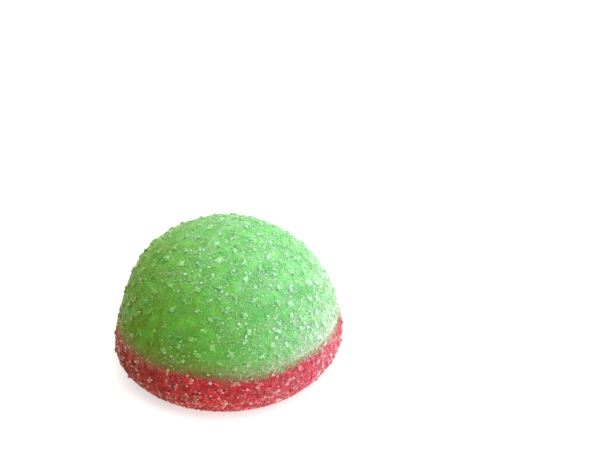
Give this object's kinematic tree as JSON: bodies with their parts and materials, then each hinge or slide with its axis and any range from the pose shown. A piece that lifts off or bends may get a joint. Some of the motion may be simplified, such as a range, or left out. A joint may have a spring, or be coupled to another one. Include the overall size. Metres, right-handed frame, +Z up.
{
  "type": "sour gummy candy",
  "caption": "Soft jelly candy in the shape of a low dome, a green layer on a red base, coated all round with sugar crystals and resting on its flat underside.",
  "frame": {"origin": "middle of the flat underside, on the surface the candy rests on", "axes": "+Z up through the top of the dome; -Y is the side towards the viewer in the picture, +X is to the viewer's right"},
  "size_m": [0.0302, 0.0301, 0.0196],
  "materials": {
    "green_jelly": "soft green jelly under a frosting of clear and white sugar",
    "red_jelly": "soft crimson jelly under a frosting of clear and pink-white sugar",
    "sugar": "clear to white sugar crystals with glinting faces"
  },
  "bodies": {
    "root": {"green_dome": "green_jelly", "red_base": "red_jelly"}
  },
  "joints": []
}
